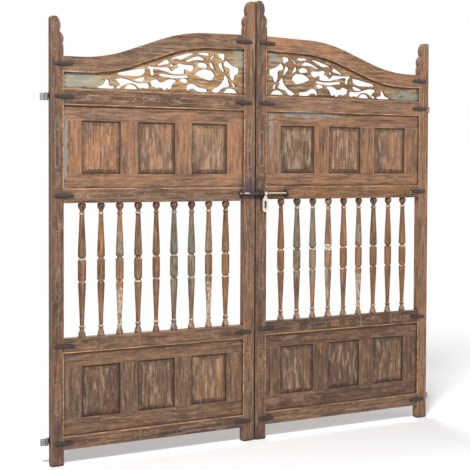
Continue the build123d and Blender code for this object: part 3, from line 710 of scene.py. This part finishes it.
# Panelled sections
# Boards 20 mm thick are housed in the frame and hold three raised panels each, their grain
# upright. The field of each panel is planed down to its edge all round, as with a hand plane.
# The planed border has kept its dark stain, while the field is worn to grey wood and limewash.
boards_front = extent("left_upper_panel_frame", 1)[0]
panel_wood = old_wood("hardwood raised panel", "upright", wash="#C2A88E", wash_amount=0.42, sunk=0.55)
board_tones = {
    ("left", "upper"): "tan", ("left", "lower"): "walnut",
    ("right", "upper"): "tan", ("right", "lower"): "bark",
}
panel_tones = {
    ("left", "upper"): ("tan", "tan", "ash"), ("left", "lower"): ("bark", "walnut", "tan"),
    ("right", "upper"): ("tan", "tan", "walnut"), ("right", "lower"): ("walnut", "bark", "walnut"),
}
bottom_board = {"upper": 65, "lower": 77}
top_board = {"upper": 70, "lower": 66}
for leaf in leaves:
    rails = leaf.rails
    uprights = {
        "upper": (rails["lock"][1] + bottom_board["upper"], rails["frieze"][0] - top_board["upper"]),
        "lower": (rails["bottom"][1] + bottom_board["lower"], rails["sill"][0] - top_board["lower"]),
    }
    # Two level boards show long streaks and the uprights between them short ones. Grey-blue paint
    # is left at the outer and upper edges.
    board_wood = old_wood(
        f"{leaf.name} leaf's hardwood boards", "level", uprights=uprights.values(), paint="#87908F",
        painted=[
            ((-970, boards_front, 1400), (18, 1000, 200)), ((-800, boards_front, 1420), (14, 1000, 100)),
            ((300, boards_front, 1600), (200, 1000, 16)), ((80, boards_front, 1500), (14, 1000, 120)),
        ],
    )
    for section in uprights:
        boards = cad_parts[f"{leaf.name}_{section}_panel_frame"]
        finish_with(boards, board_wood, tones[board_tones[leaf.name, section]])
        soften(boards, 0.8)
        for number, tone in enumerate(panel_tones[leaf.name, section], start=1):
            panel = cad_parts[f"{leaf.name}_{section}_panel_{number}"]
            finish_with(panel, panel_wood, tones[tone])
            soften(panel, 0.8)

# Balusters
# Nine to a leaf, turned from one square of hardwood each on a hand-driven lathe, so no two are
# quite alike. Their square tenons stand in the rails. Some keep green and cream paint.
baluster_profile = [
    (0, 13), (3, 15), (8, 17.4), (15, 17.8), (22, 16), (30, 11.5), (36, 9.4), (41, 9.4), (44, 12.5),
    (47, 13.6), (51, 12.6), (54, 10.4), (62, 10.8), (110, 13), (170, 15.9), (215, 17.6), (238, 18),
    (243, 16.6), (247, 12.4), (252, 12.2), (256, 16.4), (261, 18), (300, 18.3), (345, 17.8), (350, 16.2),
    (354, 12.8), (358, 12.8), (361, 16.2), (366, 17), (400, 15.8), (460, 13), (520, 10.4), (549, 9.5),
    (553, 9.6), (556, 12), (560, 12.9), (564, 12), (567, 9.8), (573, 10.4), (586, 14.6), (596, 16.4),
    (604, 16.6),
]
profile_height = baluster_profile[-1][0]
lathe_error = 0.035
tones["amber"] = "#8F6544"
# Paint is given as its first and last share of the height from the top, its colour, amount and patch size.
collars = [(0.072, 0.086), (0.408, 0.422), (0.584, 0.598), (0.915, 0.927)]
cream_collars = [(start, end, "#D3C6AC", 0.75, 30) for start, end in collars]
foot_and_head = [(0.0, 0.055, "#3A2A20", 0.6, 20), (0.94, 1.0, "#AE9686", 0.45, 12)]
baluster_coats = {
    "bare": [],
    "green": [(0.06, 0.40, "#647061", 0.75, 16), (0.43, 0.70, "#7F8170", 0.6, 11)],
    "cream": [(0.38, 0.43, "#D8CCB2", 0.9, 30), (0.58, 0.92, "#A9A288", 0.6, 20)],
    "flecked": [(0.64, 0.94, "#CFC4A8", 0.6, 6), (0.22, 0.38, "#8F9280", 0.5, 9)],
}
# Turned wood shows its grain upright in short streaks, under what is left of its paint.
baluster_woods = {
    coat: old_wood(
        f"turned hardwood {coat}", "upright", wash="#B08862", bands=foot_and_head + bands + cream_collars,
    )
    for coat, bands in baluster_coats.items()
}
# Each leaf's balusters from left to right, as seen from the front.
baluster_looks = {
    "left": [
        "walnut bare", "amber bare", "tan flecked", "walnut bare", "amber bare", "walnut green",
        "walnut green", "tan flecked", "amber bare",
    ],
    "right": [
        "amber bare", "walnut green", "tan green", "ash cream", "amber bare", "tan flecked",
        "russet bare", "amber bare", "russet bare",
    ],
}


def turned(name, profile, top, segments=32):
    """A closed form turned about an upright axis, from (drop, radius) pairs under its top centre."""
    x, y, z = top
    turns = [2 * pi * i / segments for i in range(segments)]
    points = [(x + r * sin(t), y + r * cos(t), z - drop) for drop, r in profile for t in turns]
    faces = []
    for row in range(len(profile) - 1):
        upper, lower = row * segments, (row + 1) * segments
        for i in range(segments):
            j = (i + 1) % segments
            faces.append((upper + j, upper + i, lower + i, lower + j))
    faces.append(tuple(range(segments)))
    last = (len(profile) - 1) * segments
    faces.append(tuple(last + i for i in reversed(range(segments))))
    mesh = bpy.data.meshes.new(name)
    mesh.from_pydata([[c * mm for c in point] for point in points], [], faces)
    return shown_as(name, mesh, 60)


def rounded_profile(profile):
    """A profile with three points to each stretch, on a smooth curve through the given ones."""
    rows = [profile[0]] + profile + [profile[-1]]
    made = []
    for before, start, end, after in zip(rows, rows[1:], rows[2:], rows[3:]):
        for t in (0, 1 / 3, 2 / 3):
            point = []
            for a, b, c, d in zip(before, start, end, after):
                bend, twist = 2 * a - 5 * b + 4 * c - d, 3 * b - a - 3 * c + d
                point.append(0.5 * (2 * b + (c - a) * t + bend * t * t + twist * t ** 3))
            made.append(tuple(point))
    return made + [profile[-1]]


for leaf in leaves:
    high, low = leaf.rails["lock"][0], leaf.rails["sill"][1]
    stretch = (high - low) / profile_height
    looks = baluster_looks[leaf.name][::-leaf.side]
    pitch = (leaf.inner - stile_width) / (len(looks) + 1)
    for number, look in enumerate(looks, start=1):
        # No two come off the lathe with quite the same width.
        hand = 1 + lathe_error * sin(number * 2.4 + leaf.side)
        shape = [(drop * stretch, radius * hand) for drop, radius in rounded_profile(baluster_profile)]
        top = (leaf.x(stile_width + pitch * number), 0, high)
        spindle = turned(f"{leaf.name}_turned_baluster_{number}", shape, top)
        tone, coat = look.split()
        finish_with(spindle, baluster_woods[coat], tones[tone])
        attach(spindle, leaf.body)
        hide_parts(f"{leaf.name}_baluster_{number}")

# Iron straps on the front joints
# Flat bars drawn out under the hammer, swelling where each nail goes through, and nailed across
# the joints of stile and rail. The forge scale on them is black and dull, with specks of rust.


def old_iron(name, scale_colour, bright_colour, bright, rough, worn_and_highlit_top=None):
    """Forged iron: hammer marks 9 mm across under a skin of scale, rubbed bright on its edges.

    Its upper side may be painted pale, partly as bare worn metal and partly as a painted highlight, but for
    a stretch, given by its middle and half length.
    """
    material = blank_material(name)
    place = add(material, "TexCoord").outputs["Object"]
    dents = {"Vector": place, "Scale": 1 / (9 * mm), "Detail": 2.0}
    dents = add(material, "TexNoise", dents).outputs["Fac"]
    grit = {"Vector": place, "Scale": 1 / (1.6 * mm), "Detail": 4.0}
    grit = add(material, "TexNoise", grit).outputs["Fac"]
    rubbed = patches(material, place, 26, 0.58 - bright * 0.3, 0.72 - bright * 0.3, detail=5.0)
    rubbed = {0: arrises(material, 1.5), 1: rubbed}
    rubbed = add(material, "Math", rubbed, operation="MAXIMUM").outputs["Value"]
    scoured = {"Value": grit, "From Min": 0.30, "From Max": 0.55}
    scoured = add(material, "MapRange", scoured, clamp=True).outputs["Result"]
    rubbed = add(material, "Math", {0: rubbed, 1: scoured}, operation="MULTIPLY").outputs["Value"]
    colour = coated(material, linear(scale_colour), bright_colour, rubbed, 0.35 + 0.65 * bright)
    colour = coated(material, colour, "#6A4630", patches(material, place, 5, 0.56, 0.72), 0.45)
    if worn_and_highlit_top:
        facing = add(material, "NewGeometry").outputs["Normal"]
        facing = add(material, "SeparateXYZ", {0: facing}).outputs["Z"]
        upper = {"Value": facing, "From Min": -0.1, "From Max": 0.45}
        upper = add(material, "MapRange", upper, clamp=True).outputs["Result"]
        along = add(material, "SeparateXYZ", {0: place}).outputs["X"]
        dark_stretch = {0: along, 1: worn_and_highlit_top[0] * mm, 2: worn_and_highlit_top[1] * mm}
        dark_stretch = add(material, "Math", dark_stretch, operation="COMPARE").outputs["Value"]
        bare = {0: upper, 1: dark_stretch}
        bare = add(material, "Math", bare, operation="SUBTRACT", use_clamp=True).outputs["Value"]
        # Faces that look upward, but for the dark stretch, are coated pale: partly bare worn metal, partly a
        # painted highlight.
        colour = coated(material, colour, "#D6C8B0", bare, 0.9)
    # Hollows and corners of the iron are coated near black, partly as dirt and partly as painted shade.
    colour = coated(material, colour, "#1F1712", shade_and_soil_mask(material, 10), 0.8)
    metal = add(material, "Math", {0: rubbed, 1: 0.8}, operation="MULTIPLY").outputs["Value"]
    gloss = {"Value": rubbed, "To Min": rough, "To Max": 0.42}
    gloss = add(material, "MapRange", gloss).outputs["Result"]
    height = add(material, "Mix", {0: 0.3, 2: dents, 3: grit}, data_type="FLOAT").outputs[0]
    marks = {"Strength": 0.6, "Distance": 1.0 * mm, "Height": height}
    marks = add(material, "Bump", marks).outputs["Normal"]
    finish = {"Base Color": colour, "Metallic": metal, "Roughness": gloss, "Normal": marks}
    shader = add(material, "BsdfPrincipled", finish)
    add(material, "OutputMaterial", {"Surface": shader.outputs["BSDF"]})
    return material


black_iron = old_iron("forged iron with black scale", "#2A2524", "#77706A", 0.0, 0.55)
strap_outline = [
    (-43, 0), (-41, 4.2), (-34, 6.4), (-25, 5.4), (-13, 7.8), (0, 9), (13, 7.8), (25, 5.4), (34, 6.4),
    (41, 4.2),
]
strap_outline += [(-u, -z) for u, z in strap_outline]
strap_centre = 60
strap_thickness = 5.5
strap_edge = 2.4
bedded = 0.2
most_slant = radians(1.6)
nail_spacing = 33
nail_radius = 4.6
nail_height = 3.2
nail_neck = 1
arch_rail_height = 69
arch_middle = arch_low_edge + arch_rail_height / 2


def dome(radius, height):
    """The (drop, radius) pairs of a low dome."""
    turns = [pi / 2 * i / 5 for i in range(6)]
    return [(height * (1 - cos(t)), max(radius * sin(t), 0.02)) for t in turns]


def nail(name, x, z, y):
    """A hand-made nail's domed head, lying on a plane at depth y."""
    profile = dome(nail_radius, nail_height) + [(nail_height + nail_neck, nail_radius)]
    head = turned(name, profile, (0, 0, nail_height), segments=12)
    head.data.transform(Matrix.Translation((x * mm, y * mm, z * mm)) @ Matrix.Rotation(pi / 2, 4, "X"))
    return head


def joined(name, pieces):
    """Several meshes as one piece."""
    with bpy.context.temp_override(active_object=pieces[0], selected_editable_objects=pieces):
        bpy.ops.object.join()
    pieces[0].name = name
    pieces[0].data.name = name
    return pieces[0]


for leaf in leaves:
    levels = {name: (low + high) / 2 for name, (low, high) in leaf.rails.items()}
    places = [(strap_centre, z) for z in (*levels.values(), arch_middle)]
    places += [(leaf.width - strap_centre, z) for name, z in levels.items() if name != "lock"]
    places += [(leaf.width - strap_centre, arch_middle + arch_rise + arch_crown_rise)]
    pieces = []
    for count, (u, z) in enumerate(places):
        slant = most_slant * sin(count * 2.1 + leaf.side)
        outline = [
            (leaf.x(u) + dx * cos(slant) - dz * sin(slant), z + dx * sin(slant) + dz * cos(slant))
            for dx, dz in strap_outline
        ]
        name = f"strap_{leaf.name}_{count}"
        pieces.append(sawn(name, [(outline, True)], front - strap_thickness, front + bedded, strap_edge, 4))
        for dx in (-nail_spacing, 0, nail_spacing):
            nail_x, nail_z = leaf.x(u) + dx * cos(slant), z + dx * sin(slant)
            pieces.append(nail(f"nail_{name}_{dx}", nail_x, nail_z, front - strap_thickness + bedded))
    straps = joined(f"{leaf.name}_forged_straps", pieces)
    straps.data.shade_smooth()
    straps.data.set_sharp_from_angle(angle=radians(45))
    finish_with(straps, black_iron)
    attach(straps, leaf.body)
    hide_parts(f"{leaf.name}_joint_straps")

# Hinges
# Long straps nailed to the back, whose eyes drop over the pins of the pintles in the wall.
# They are dull grey, as iron is where the hand and the rain have cleaned it.
grey_iron = old_iron("bare grey iron", "#77757A", "#A9A6A2", 0.55, 0.55)
for leaf in leaves:
    for name in ("hinge_straps", "pintles"):
        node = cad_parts[f"{leaf.name}_{name}"]
        finish_with(node, grey_iron)
        soften(node, 0.5)

# Sliding bolt
# A round iron rod runs through two staples on the right leaf into a keeper on the left one.
# Its slotted handle hangs from an eye. Hands and staples have rubbed the rod's ends and the
# handle to pale bare metal, and the pale top of the rod's ends is also a painted highlight; grease has
# blackened the rest.
rod_iron = old_iron("iron rod rubbed bare on top", "#3A2D28", "#8E8274", 0.2, 0.55, worn_and_highlit_top=(0, 52))
greased_iron = old_iron("iron staple black with grease", "#2E2725", "#7C736A", 0.1, 0.55)
bright_iron = old_iron("iron polished by hands", "#A39A88", "#E2DCCB", 0.95, 0.5)
bolt_finishes = {
    "bolt_rod": rod_iron, "bolt_guides": greased_iron, "bolt_keeper": greased_iron,
    "bolt_handle": bright_iron,
}
for name, iron in bolt_finishes.items():
    finish_with(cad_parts[name], iron)
    soften(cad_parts[name], 0.5)

# Floor, light and camera
# The gate stands on a plain pale floor in even studio light. The floor goes over into the pale
# surround a few metres away, and keeps the gate's soft shadow near it.
floor_reach = 30
matt_within = 1.6
white_beyond = 4.0
room_light = 0.30


def seen_directly(material):
    """1 for what the camera sees, straight or in metal or glass, and 0 for what only lights the gate."""
    rays = add(material, "LightPath").outputs
    seen = add(material, "Math", {0: rays["Is Camera Ray"], 1: rays["Is Glossy Ray"]}, operation="ADD")
    seen = {0: seen.outputs["Value"], 1: rays["Is Transmission Ray"]}
    return add(material, "Math", seen, operation="ADD", use_clamp=True).outputs["Value"]


floor_mesh = bpy.data.meshes.new("floor")
corners = box_loop(-floor_reach, floor_reach, -floor_reach, floor_reach)
floor_mesh.from_pydata([(x, y, 0) for x, y in corners], [], [(0, 1, 2, 3)])
floor = bpy.data.objects.new("floor", floor_mesh)
bpy.context.scene.collection.objects.link(floor)
pale_floor = blank_material("pale studio floor")
distance = {0: add(pale_floor, "NewGeometry").outputs["Position"]}
distance = add(pale_floor, "VectorMath", distance, operation="LENGTH").outputs["Value"]
far_off = {"Value": distance, "From Min": matt_within, "From Max": white_beyond}
far_off = add(pale_floor, "MapRange", far_off, clamp=True).outputs["Result"]
matt = add(pale_floor, "BsdfDiffuse", {"Color": linear("#F6F6F6")}).outputs["BSDF"]
white = add(pale_floor, "Emission", {"Color": linear("#FFFFFF"), "Strength": 1.0}).outputs["Emission"]
level = {0: far_off, 1: seen_directly(pale_floor)}
level = add(pale_floor, "Math", level, operation="MULTIPLY").outputs["Value"]
both = add(pale_floor, "MixShader", {0: level, 1: matt, 2: white}).outputs["Shader"]
add(pale_floor, "OutputMaterial", {"Surface": both})
finish_with(floor, pale_floor)

world = bpy.data.worlds.new("studio")
bpy.context.scene.world = world
world.use_nodes = True
world.node_tree.nodes.clear()
room = add(world, "Background", {"Color": linear("#FFFFFF"), "Strength": room_light}).outputs["Background"]
surround = add(world, "Background", {"Color": linear("#FFFFFF"), "Strength": 1.0}).outputs["Background"]
shown = add(world, "MixShader", {0: seen_directly(world), 1: room, 2: surround}).outputs["Shader"]
add(world, "OutputWorld", {"Surface": shown})


gate_middle = Vector((0, 0, 1.0))


def softbox(name, place, size, power):
    """A square area lamp that faces the middle of the gate."""
    lamp = bpy.data.lights.new(name, "AREA")
    lamp.size = size
    lamp.energy = power
    holder = bpy.data.objects.new(name, lamp)
    holder.location = place
    holder.rotation_mode = "QUATERNION"
    holder.rotation_quaternion = (gate_middle - Vector(place)).to_track_quat("-Z", "Y")
    bpy.context.scene.collection.objects.link(holder)


softbox("key", (-2.4, -3.4, 5.0), size=1.0, power=370)
softbox("fill", (4.2, -3.2, 2.2), size=2.6, power=40)
softbox("rear", (1.0, 4.5, 4.2), size=2.6, power=170)

camera_data = bpy.data.cameras.new("camera")
camera_data.sensor_width = 36
camera_data.lens = 78.67
camera_data.shift_y = -0.0883
camera = bpy.data.objects.new("camera", camera_data)
camera_place = Matrix.Translation((-2.391, -4.412, 1.342))
turn, tip, lean = radians(-27.32), radians(-1.54), radians(0.21)
aim = Matrix.Rotation(turn, 4, "Z") @ Matrix.Rotation(pi / 2 + tip, 4, "X") @ Matrix.Rotation(lean, 4, "Z")
camera.matrix_world = camera_place @ aim
bpy.context.scene.collection.objects.link(camera)
bpy.context.scene.camera = camera
bpy.context.scene.view_settings.view_transform = "Standard"
